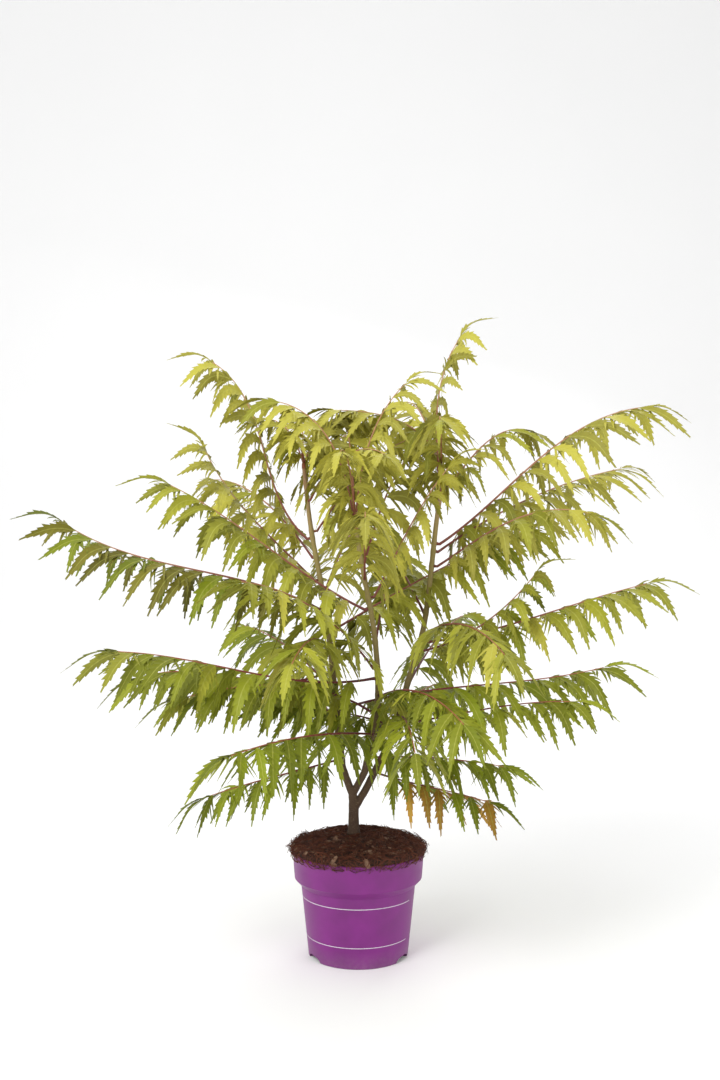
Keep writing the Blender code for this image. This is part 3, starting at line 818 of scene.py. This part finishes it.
# %% Leaf lists
Leaf = namedtuple("Leaf", "height heading rises length")  # height 0 is the bud at a stem's tip
LEAVES = {
    "left": (
        Leaf(0.335, 206, (-10, -9, -14), 0.24),
        Leaf(0.375, 100, (15, 8, 0), 0.34),
        Leaf(0.422, -5, (19, 6, 15), 0.46),
        Leaf(0.455, 118, (24, 12, 2), 0.42),
        Leaf(0.487, 190, (-24, 10, -20), 0.33),
        Leaf(0.528, 262, (18, 2, -18), 0.34),
        Leaf(0.560, 12, (30, 27, 20), 0.40),
        Leaf(0.599, 178, (29, 12, 34), 0.485),
        Leaf(0.626, 75, (38, 24, 6), 0.42),
        Leaf(0.649, 200, (45, 46, 64), 0.30),
        Leaf(0.690, 128, (40, 26, 2), 0.38),
        Leaf(0.724, 168, (40, 74, 30), 0.375),
        Leaf(0.735, 8, (56, 48, 20), 0.24),
        Leaf(0.790, 303, (45, 18, -22), 0.26),
        Leaf(0.820, 60, (50, 30, -10), 0.24),
    ),
    "middle": (
        Leaf(0.345, -22, (7, 0, -6), 0.23),
        Leaf(0.385, 68, (14, 8, -4), 0.36),
        Leaf(0.421, 186, (34, 2, -14), 0.34),
        Leaf(0.452, 292, (18, 0, -22), 0.32),
        Leaf(0.481, 200, (-8, 13, 4), 0.44),
        Leaf(0.500, 228, (46, 28, 6), 0.35),
        Leaf(0.545, 82, (34, 22, 6), 0.40),
        Leaf(0.603, 190, (26, 36, 26), 0.39),
        Leaf(0.621, 0, (62, 62, 50), 0.26),
        Leaf(0.655, 270, (50, 26, -20), 0.28),
        Leaf(0.680, 60, (60, 46, 10), 0.34),
    ),
    "right": (
        Leaf(0.315, -32, (-10, -5, -10), 0.21),
        Leaf(0.373, 234, (12, 4, -6), 0.41),
        Leaf(0.390, 176, (20, 8, 10), 0.22),
        Leaf(0.401, -18, (10, 12, 0), 0.30),
        Leaf(0.410, 272, (8, 0, -16), 0.32),
        Leaf(0.470, 70, (24, 14, 0), 0.42),
        Leaf(0.527, -12, (14, 36, 52), 0.24),
        Leaf(0.541, -8, (7, 18, 14), 0.395),
        Leaf(0.552, 288, (20, 0, -24), 0.34),
        Leaf(0.590, 108, (36, 24, 4), 0.42),
        Leaf(0.674, -22, (32, 24, -20), 0.30),
        Leaf(0.700, 32, (30, 20, 10), 0.48),
        Leaf(0.714, 9, (33, 40, 6), 0.465),
    ),
}
TUFTS = {
    "left": (
        Leaf(0, 155, (70, 50, -10), 0.13),
        Leaf(0, 15, (66, 44, -20), 0.16),
        Leaf(0, 265, (50, 20, -30), 0.14),
        Leaf(0, 95, (66, 44, 0), 0.16),
    ),
    "middle": (
        Leaf(0, 170, (80, 62, 6), 0.28),
        Leaf(0, 20, (86, 72, 42), 0.27),
        Leaf(0, 262, (66, 40, -20), 0.22),
        Leaf(0, 100, (76, 60, 10), 0.26),
    ),
    "right": (
        Leaf(0, 22, (40, 40, -26), 0.24),
        Leaf(0, 10, (98, 86, 56), 0.285),
        Leaf(0, 186, (104, 30, 0), 0.28),
        Leaf(0, 265, (62, 36, -26), 0.24),
        Leaf(0, 108, (66, 48, 0), 0.28),
    ),
}
print("leaves on the stems:", sum(len(leaves) for leaves in LEAVES.values()))
print("leaves in the tufts:", sum(len(leaves) for leaves in TUFTS.values()))

# %% Rachis
FULL_LEAF = 0.45  # rachis length at which the leaflet sizes hold
RACHIS_SPAN = 0.014
FEWEST_SPANS = 8
RACHIS_RADIUS = 0.0024
RACHIS_TIP_RADIUS = 0.0007
RACHIS_SIDES = 6
PETIOLE_ROOT = 0.6  # how far from the stem's centre it begins, as a share of the radius
PETIOLE_FOOT = 0.006
PETIOLE_SWELL = 0.0011  # how much thicker the foot is
SWELL_FADE = 0.9
BUD_LENGTH = 0.010
BUD_LEAF_PLACES = (0.3, 0.7)  # along the bud, where a tuft's rachis begins and comes out


def bearing(heading, rise):
    """The direction of a heading and a rise."""
    level = math.cos(math.radians(rise))
    turn = math.radians(heading)
    return Vector((level * math.cos(turn), level * math.sin(turn), math.sin(math.radians(rise))))


def rise_at(rises, share):
    """The rise in degrees at a share of the rachis, on the curve through the three given."""
    low, middle, high = rises
    return (
        low * (1.0 - share) * (1.0 - 2.0 * share)
        + middle * 4.0 * share * (1.0 - share)
        + high * share * (2.0 * share - 1.0)
    )


def rachis_path(leaf, start):
    path = [start]
    spans = max(FEWEST_SPANS, round(leaf.length / RACHIS_SPAN))
    for i in range(spans):
        step = leaf.length / spans
        rise = rise_at(leaf.rises, (i + 0.5) / spans)
        path.append(path[-1] + step * bearing(leaf.heading, rise))
    return path


def leaf_start(stem_name, leaf):
    """Where a leaf's rachis begins: just off the bark, or on the bud at the stem's tip."""
    if leaf.height == 0:
        path, radii = stem_line(stem_name)
        direction = (path[-1] - path[-2]).normalized()
        inside, outside = BUD_LEAF_PLACES
        bud = direction * BUD_LENGTH
        return path[-1] + bud * inside, path[-1] + bud * outside
    centre, direction, radius = stem_at(stem_name, leaf.height)
    out = bearing(leaf.heading, 0.0)
    out = (out - direction * out.dot(direction)).normalized()
    return centre + out * radius * PETIOLE_ROOT, centre + out * (radius + PETIOLE_FOOT)


def rachis_radii(leaf, count):
    """Thickest at the swollen foot, then evenly thinner."""
    size = math.sqrt(leaf.length / FULL_LEAF)
    radii = []
    for i in range(count):
        share = i / (count - 1)
        plain = RACHIS_TIP_RADIUS + (RACHIS_RADIUS - RACHIS_TIP_RADIUS) * size * (1.0 - share)
        radii.append(plain + PETIOLE_SWELL * size * math.exp(-i * SWELL_FADE))
    return radii


def add_rachis(rachises, leaf, root, path, tone):
    line = [root, *path]
    points, faces = tube(line, rachis_radii(leaf, len(line)), RACHIS_SIDES)
    last = len(line) - 1
    marks = [(i // RACHIS_SIDES / last, point.z, tone) for i, point in enumerate(points)]
    rachises.add(points, faces, marks)


# %% Leaflet rule
Leaflet = namedtuple("Leaflet", "root first second length across")
BARE_SHARE = 0.10  # of the rachis, below the first pair
LAST_SHARE = 0.96  # where the last pair leaves it
PAIR_STAGGER = 0.03
FEWEST_PAIRS = 3.6
PAIRS_PER_METRE = 18.5
LEAFLET_LENGTH = 0.123
LENGTH_PLAY = (0.90, 1.04)
END_LENGTH = 0.80  # of the leaflet at the leaf's end, as a share
LEAFLET_SPREAD = 62.0  # degrees from the rachis in the first pair
LEAFLET_CLOSING = 22.0  # and how much less it is in the last
SPREAD_PLAY = 12.0
LEAFLET_TWIST = 44.0
FULL_HANG = 1.04
LESS_HANG = 0.36
HANG_PLAY = (-0.22, 0.16)
FIRST_DROOP = 0.42  # of the hang, at the leaflet's root
DRAWN_IN = 0.60  # how much less it reaches out when it hangs in full
LEAST_SIDE = 0.3  # below this the rachis is too upright to tell its side


def point_on(path, share):
    """The point and the direction at a share of an evenly stepped path."""
    reach = share * (len(path) - 1)
    i = min(int(reach), len(path) - 2)
    return path[i].lerp(path[i + 1], reach - i), (path[i + 1] - path[i]).normalized()


def leaflet_size(leaf):
    """Shorter leaves have smaller leaflets, though not by as much."""
    return (leaf.length / FULL_LEAF) ** 0.35


def fullness(row):
    """The length of a pair's leaflets as a share, greatest in the middle of the leaf."""
    return 0.80 + 0.20 * math.sin(math.pi * (0.15 + 0.70 * row))


def side_leaflet(leaf, path, row, hand, rng):
    """One leaflet of a pair. The row runs from 0 at the leaf's foot to 1 at its end."""
    share = BARE_SHARE + (LAST_SHARE - BARE_SHARE) * row
    root, along = point_on(path, share + hand * PAIR_STAGGER / 2.0)
    side = along.cross(UP)
    level = -bearing(leaf.heading + 90.0, 0.0)
    side = side.normalized() if side.length > LEAST_SIDE else level
    play = rng.uniform(-SPREAD_PLAY, SPREAD_PLAY)
    angle = math.radians(LEAFLET_SPREAD - LEAFLET_CLOSING * row + play)
    out = along * math.cos(angle) + side * hand * math.sin(angle)
    hang = FULL_HANG - LESS_HANG * row + rng.uniform(*HANG_PLAY)
    first = (out - UP * FIRST_DROOP * hang).normalized()
    second = (out * (1.0 - DRAWN_IN * hang) - UP * hang).normalized()
    length = LEAFLET_LENGTH * leaflet_size(leaf) * fullness(row) * rng.uniform(*LENGTH_PLAY)
    twist = math.radians(rng.uniform(-LEAFLET_TWIST, LEAFLET_TWIST))
    across = along * math.cos(twist) + side * math.sin(twist)
    return Leaflet(root, first, second, length, across)


def leaflet_plan(leaf, path, rng):
    """The leaflets of a leaf, pair by pair from its foot, and then the one at its end."""
    pairs = round(FEWEST_PAIRS + PAIRS_PER_METRE * leaf.length)
    rows = [pair / (pairs - 1) for pair in range(pairs)]
    plan = [side_leaflet(leaf, path, row, hand, rng) for row in rows for hand in (-1, 1)]
    root, along = point_on(path, 1.0)
    second = (along * 0.8 - UP * 0.6).normalized()
    across = bearing(leaf.heading + 90.0, 0.0) + UP * 0.3
    length = LEAFLET_LENGTH * leaflet_size(leaf) * END_LENGTH
    plan.append(Leaflet(root, along, second, length, across))
    return plan


# %% Leaflet outline
HALF_WIDTH = 0.106  # of the leaflet's length
TEETH = 9
NOTCH = 0.66  # width between two teeth, as a share of the width at them
TOOTH_LEAN = 1.3  # how far a tooth points forward, in steps
FOLD = 0.34  # how far the blade's sides stand up from its midrib
RIPPLE = 0.14
RIPPLE_TURNS = 11.0
GIRTH_PLAY = (0.8, 1.15)
TOOTH_PLAY = (0.75, 1.2)
DROOP_SHARE = 0.72  # of the leaflet, over which it bends


def blade_width(share):
    """The blade's width as a share of its greatest, which is near a third of its length."""
    return 2.75 * share**0.5 * (1.0 - share) ** 1.1


def midrib(leaflet):
    """The midrib's points with their direction, width axis and face normal."""
    steps = 2 * TEETH
    line = []
    place = leaflet.root
    across = leaflet.across
    for i in range(steps + 1):
        turn = min(1.0, i / steps / DROOP_SHARE)
        turn = turn * turn * (3.0 - 2.0 * turn)
        direction = leaflet.first.lerp(leaflet.second, turn).normalized()
        wide = (across - direction * across.dot(direction)).normalized()
        over = direction.cross(wide)
        if over.z < 0.0:
            over = -over
        line.append((place, direction, wide, over))
        place = place + direction * (leaflet.length / steps)
    return line


# %% Leaflet blade
def add_blade(sheet, line, length, tone, rng):
    """The toothed blade: two rows of faces from the midrib out to the teeth."""
    points, marks, faces = [], [], []
    wave = rng.uniform(0.0, 6.3)
    girth = HALF_WIDTH * rng.uniform(*GIRTH_PLAY)
    steps = len(line) - 1
    for i, (place, direction, wide, over) in enumerate(line):
        share = i / steps
        tooth = i % 2 == 1
        ripple = RIPPLE * math.sin(wave + share * RIPPLE_TURNS)
        points.append(place)
        marks.append((share, 0.0, tone))
        for hand in (-1.0, 1.0):
            cut = rng.uniform(*TOOTH_PLAY) if tooth else NOTCH
            reach = girth * length * blade_width(share) * cut
            forward = direction * (TOOTH_LEAN * length / steps * cut if tooth else 0.0)
            lift = over * reach * (FOLD + ripple * hand)
            points.append(place + wide * hand * reach + forward + lift)
            marks.append((share, hand, tone))
    for i in range(steps):
        low, high = 3 * i, 3 * i + 3
        faces.append((low, high, high + 1, low + 1))
        faces.append((low, low + 2, high + 2, high))
    sheet.add(points, faces, marks)


# %% Finger lobes
LOBES = ((0.04, 0.40, 44.0), (0.14, 0.33, 36.0))  # place and length as shares, and angle
LOBE_HALF_WIDTH = 0.022
LOBE_WIDTHS = (0.35, 0.9, 1.0, 0.6, 0.0)  # from its foot to its tip
LOBE_PLAY = 10.0
LOBE_LENGTH_PLAY = (0.75, 1.1)


def add_lobes(sheet, line, length, tone, rng):
    """The narrow finger lobes at the foot of a leaflet, two on each side."""
    for share, reach, angle in LOBES:
        place, direction, wide, over = line[round(share * (len(line) - 1))]
        for hand in (-1.0, 1.0):
            turn = math.radians(angle + rng.uniform(-LOBE_PLAY, LOBE_PLAY))
            out = direction * math.cos(turn) + wide * hand * math.sin(turn)
            side = out.cross(over).normalized()
            long = length * reach * rng.uniform(*LOBE_LENGTH_PLAY)
            points, marks = [], []
            for step, width in enumerate(LOBE_WIDTHS):
                along = step / (len(LOBE_WIDTHS) - 1)
                middle = place + out * long * along + (over * 0.25 - UP * 0.5) * long * along**2
                for edge in (-1.0, 1.0):
                    points.append(middle + side * edge * LOBE_HALF_WIDTH * length * width)
                    marks.append((0.4 + 0.6 * along, edge, tone))
            # At the tip both edges meet, so its second point is left out.
            faces = [(2 * i, 2 * i + 1, 2 * i + 3, 2 * i + 2) for i in range(3)]
            faces.append((6, 7, 8))
            sheet.add(points[:-1], faces, marks[:-1])


# %% [markdown]
# Colours of the leaves
#
# The colours have a place on the plant. New growth on top is chartreuse, the middle of the crown
# is yellow-green and its foot a deeper green, one long leaf on the left has turned olive and the
# lowest on the right is orange. One material could blend them by height, but then no leaflet would
# differ from its neighbours. So each spray has a colour by its height, those two by name, and some
# leaflets take the colour next to their own. In the two named sprays nearly half of the leaflets
# are still green. The finish gives each leaflet its own tone, a paler midrib and slight veins.
# All are set brighter than the leaves' own colours: the extra is painted light, standing in for the
# glow of light through backlit leaves.

# %% Leaf colours
# Brighter than the leaves' own colours: the extra is painted light, for light through backlit
# leaves.
LEAF_COLOURS_AND_PAINTED_GLOW = {
    "chartreuse": (0.40, 0.37, 0.048),
    "yellow_green": (0.31, 0.31, 0.028),
    "mid_green": (0.235, 0.26, 0.014),
    "deep_green": (0.19, 0.225, 0.010),
    "olive": (0.165, 0.150, 0.014),
    "orange": (0.42, 0.23, 0.030),
}
KINDS_BY_HEIGHT = (  # least height at which a spray leaves its stem
    (0.62, "chartreuse"),
    (0.50, "yellow_green"),
    (0.40, "mid_green"),
    (0.0, "deep_green"),
)
TUFT_HEIGHT = 0.9  # stands for the height of a tuft's leaves
KINDS_BY_NAME = {"leaf_left_08": "olive", "leaf_right_01": "orange"}
STRAY_SHARE = 0.16  # leaflets that take another kind's colour
TURNING_SHARE = 0.45  # leaflets that are still green in the two sprays given by name


def kind_of(name, height):
    """The colour of a spray, by its name or by its height."""
    if name in KINDS_BY_NAME:
        return KINDS_BY_NAME[name]
    return next(kind for floor, kind in KINDS_BY_HEIGHT if height >= floor)


# %% Finish of the leaflets
RIB_COLOUR = (0.60, 0.60, 0.12)


def leaf_look(name, colour):
    """A matt leaf: a tone for each leaflet, a paler midrib and slanting side veins."""
    look, tree, shader = start_material(name, 0.56)
    shader.inputs["Specular IOR Level"].default_value = 0.3
    mark = node(tree, "ShaderNodeAttribute", {}, attribute_name="mark").outputs["Vector"]
    parts = node(tree, "ShaderNodeSeparateXYZ", {0: mark}).outputs
    edge = math_node(tree, "ABSOLUTE", parts["Y"])
    tone = math_node(tree, "MULTIPLY", parts["Z"], 0.7)
    tone = math_node(tree, "ADD", tone, math_node(tree, "MULTIPLY", place_noise(tree, 70.0), 0.3))
    stops = [(0.1, shaded(colour, 0.66)), (0.5, colour), (0.9, shaded(colour, 1.34))]
    body = ramp(tree, tone, stops)
    rib = math_node(tree, "MULTIPLY", spread(tree, edge, 0.13, 0.02), 0.55)
    body = mixed(tree, rib, body, (*shaded(RIB_COLOUR, 0.5 + colour[1]), 1.0))
    tree.links.new(body, shader.inputs["Base Color"])
    slant = math_node(tree, "SUBTRACT", parts["X"], math_node(tree, "MULTIPLY", edge, 0.07))
    veins = math_node(tree, "SINE", math_node(tree, "MULTIPLY", slant, 2.0 * math.pi * TEETH))
    bump(tree, shader, veins, 0.0004, 0.5)
    return look


# %% Finish of the rachises
OLD_STOPS = ((0.0, (0.090, 0.012, 0.014)), (0.45, (0.20, 0.030, 0.026)), (1.0, (0.42, 0.13, 0.060)))
YOUNG_STOPS = ((0.0, (0.30, 0.085, 0.060)), (1.0, (0.52, 0.28, 0.13)))


def rachis_look():
    """Maroon at the foot and a flushed orange at the end, and paler and pinker in the top."""
    look, tree, shader = start_material("rachis_red", 0.48)
    mark = node(tree, "ShaderNodeAttribute", {}, attribute_name="mark").outputs["Vector"]
    parts = node(tree, "ShaderNodeSeparateXYZ", {0: mark}).outputs
    speckle = spread(tree, place_noise(tree, 240.0), 0, 1, -0.14, 0.14)
    along = math_node(tree, "ADD", parts["X"], speckle)
    old = ramp(tree, along, OLD_STOPS)
    young = ramp(tree, along, YOUNG_STOPS)
    colour = mixed(tree, spread(tree, parts["Y"], 0.50, 0.82), old, young)
    tree.links.new(colour, shader.inputs["Base Color"])
    bump(tree, shader, place_noise(tree, 1500.0, 2.0), 0.0002)
    return look


# %% Grow the leaves
SEED = 11


def sprays():
    """Every leaf and tuft: its node's name, its stem and its leaves."""
    for stem_name, leaves in LEAVES.items():
        for number, leaf in enumerate(leaves, 1):
            yield f"leaf_{stem_name}_{number:02d}", stem_name, (leaf,)
    for stem_name, leaves in TUFTS.items():
        yield f"tuft_{stem_name}", stem_name, leaves


def grow_leaves():
    """Gathers the rachises and, for each colour, the leaflets."""
    rng = random.Random(SEED)
    rachises = Gathered()
    sheets = {kind: Gathered() for kind in LEAF_COLOURS_AND_PAINTED_GLOW}
    nodes = {kind: [] for kind in LEAF_COLOURS_AND_PAINTED_GLOW}
    kinds = list(LEAF_COLOURS_AND_PAINTED_GLOW)
    last_green = kinds.index("deep_green")
    for name, stem_name, leaves in sprays():
        for leaf in leaves:
            kind = kind_of(name, leaf.height or TUFT_HEIGHT)
            nodes[kind].append(name)
            root, start = leaf_start(stem_name, leaf)
            path = rachis_path(leaf, start)
            add_rachis(rachises, leaf, root, path, rng.random())
            for leaflet in leaflet_plan(leaf, path, rng):
                stray = rng.random() < (TURNING_SHARE if name in KINDS_BY_NAME else STRAY_SHARE)
                step = kinds.index(kind) + rng.choice((-1, 1))
                sheet = sheets[kinds[min(max(step, 0), last_green)] if stray else kind]
                line = midrib(leaflet)
                tone = rng.random()
                add_blade(sheet, line, leaflet.length, tone, rng)
                add_lobes(sheet, line, leaflet.length, tone, rng)
    return rachises, sheets, nodes


# %% Buds, leaflets and rachises
BUD_SHAPE = ((-0.3, 1.0), (0.2, 1.05), (0.7, 0.85), (1.0, 0.3))  # place along the bud, and width
BUD_SIDES = 10
BUD_MARK = (0.9, 0.0, 0.5)


def add_buds(rachises):
    """A blunt bud on the tip of each stem, in the finish of the rachises."""
    for stem_name in STEMS:
        path, radii = stem_line(stem_name)
        reach = (path[-1] - path[-2]).normalized() * BUD_LENGTH
        line = [path[-1] + reach * place for place, width in BUD_SHAPE]
        points, faces = tube(line, [radii[-1] * width for place, width in BUD_SHAPE], BUD_SIDES)
        rachises.add(points, faces, [BUD_MARK] * len(points))


rachises, sheets, spray_nodes = grow_leaves()
for kind, sheet in sheets.items():
    piece = sheet.piece(f"leaflets_{kind}", leaf_look(f"leaf_{kind}", LEAF_COLOURS_AND_PAINTED_GLOW[kind]))
    settle(piece, sorted(set(spray_nodes[kind])))
add_buds(rachises)
settle(rachises.piece("rachises", rachis_look()), [name for name, _, _ in sprays()])

# %% [markdown]
# Wood
#
# Brown ridged bark at the foot, smoother and olive above, and pale, flushed young shoots at the
# tips. Tubes pushed into each other would show a crease at each fork. So a fine voxel remesh merges
# them and rounds the forks as wood grows. The ridges, and a swelling where each leaf leaves a stem,
# move the points themselves and not just the shading, because they show in so thin an outline.

# %% Wood tubes
FLARE_HEIGHTS = (0.005, 0.014)  # over the trunk's foot
STRAIGHT_SHARE = 0.75  # of the way to the lower fork
TRUNK_RADII = (0.0125, 0.0108, 0.0096, 0.0091, 0.0088, 0.0072)  # from the foot to the upper fork
FORKS = {
    "left": UPPER_FORK - UP * 0.006,
    "middle": UPPER_FORK - UP * 0.006,
    "right": LOWER_FORK - UP * 0.002,
}
STUB_REACH = 0.008
TRUNK_SIDES = 20
STEM_SIDES = 16


def wood_tubes():
    """The trunk, and each stem with the fork that it leaves the trunk by."""
    flare = [TRUNK_FOOT + UP * height for height in FLARE_HEIGHTS]
    middle = TRUNK_FOOT.lerp(LOWER_FORK, STRAIGHT_SHARE)
    trunk = [TRUNK_FOOT, *flare, middle, LOWER_FORK, UPPER_FORK]
    yield tube(trunk, TRUNK_RADII, TRUNK_SIDES)
    for name in STEMS:
        path, radii = stem_line(name)
        fork = FORKS[name]
        straight = path[0] - (path[1] - path[0]).normalized() * STUB_REACH
        line = [fork, fork.lerp(straight, 0.5), straight, *path]
        yield tube(line, [radii[0]] * 3 + radii, STEM_SIDES)


# %% Relief of the bark
RIDGE = 0.00045
RIDGES_ROUND = 420.0  # scale of the ridges round a stem
RIDGES_ALONG = 90.0  # and along it
LUMPS = 130.0
SMOOTH_HEIGHT = 0.62  # where the bark is nearly smooth
RIDGED_REACH = 0.36  # how far below that it is fully ridged
LEAST_RIDGE = 0.15
NODE_SWELL = 0.0011
NODE_REACH = 0.006


def leaf_feet():
    """Where leaves leave the stems."""
    return [stem_at(name, leaf.height)[0] for name, leaves in LEAVES.items() for leaf in leaves]


def relief(point, feet):
    """How far the bark stands out at a point: ridges on old wood and a swelling at each leaf."""
    age = min(1.0, max(LEAST_RIDGE, (SMOOTH_HEIGHT - point.z) / RIDGED_REACH))
    stretched = (point.x * RIDGES_ROUND, point.y * RIDGES_ROUND, point.z * RIDGES_ALONG)
    ridges = noise.noise(Vector(stretched))
    lumps = noise.noise(point * LUMPS)
    near = min((point - foot).length for foot in feet)
    return RIDGE * age * (ridges + 0.7 * lumps) + NODE_SWELL * math.exp(-((near / NODE_REACH) ** 2))


# %% Colour of the bark
BARK_STOPS = (  # from the foot to the tips
    (0.00, (0.062, 0.032, 0.018)),
    (0.22, (0.105, 0.062, 0.030)),
    (0.50, (0.190, 0.145, 0.045)),
    (0.78, (0.340, 0.270, 0.095)),
    (1.00, (0.450, 0.260, 0.150)),
)
SPECK_COLOUR = (0.34, 0.27, 0.17, 1.0)


def bark_look():
    """Bark that changes colour with height, a little patchily, with pale specks."""
    look, tree, shader = start_material("bark", 0.82)
    place = node(tree, "ShaderNodeTexCoord", {})
    height = node(tree, "ShaderNodeSeparateXYZ", {0: place.outputs["Object"]}).outputs["Z"]
    patchy = spread(tree, place_noise(tree, 90.0), 0.0, 1.0, -0.09, 0.09)
    age = math_node(tree, "ADD", spread(tree, height, 0.20, 0.86), patchy)
    colour = ramp(tree, age, BARK_STOPS)
    specks = spread(tree, place_noise(tree, 700.0, 2.0), 0.62, 0.72, 0.0, 0.5)
    colour = mixed(tree, specks, colour, SPECK_COLOUR)
    tree.links.new(colour, shader.inputs["Base Color"])
    bump(tree, shader, place_noise(tree, 520.0, 6.0), 0.0005)
    return look


# %% Wood mesh
WOOD_VOXEL = 0.0009
EVEN_ROUNDS = 4  # of smoothing, to take the voxels' steps away


def make_wood():
    tubes = Gathered()
    for points, faces in wood_tubes():
        tubes.add(points, faces)
    wood = plain_object("wood", tubes.points, tubes.faces, bark_look())
    merged = wood.modifiers.new("merge", "REMESH")
    merged.mode = "VOXEL"
    merged.voxel_size = WOOD_VOXEL
    evened = wood.modifiers.new("even", "SMOOTH")
    evened.iterations = EVEN_ROUNDS
    wood.data = evaluated_mesh(wood)
    feet = leaf_feet()
    normals = [vertex.normal.copy() for vertex in wood.data.vertices]
    for vertex, normal in zip(wood.data.vertices, normals):
        if vertex.co.z > TRUNK_FOOT.z + 0.001:
            vertex.co += normal * relief(vertex.co, feet)
    wood.data.shade_smooth()
    return wood


settle(make_wood(), ["trunk", "stem_left", "stem_middle", "stem_right"])
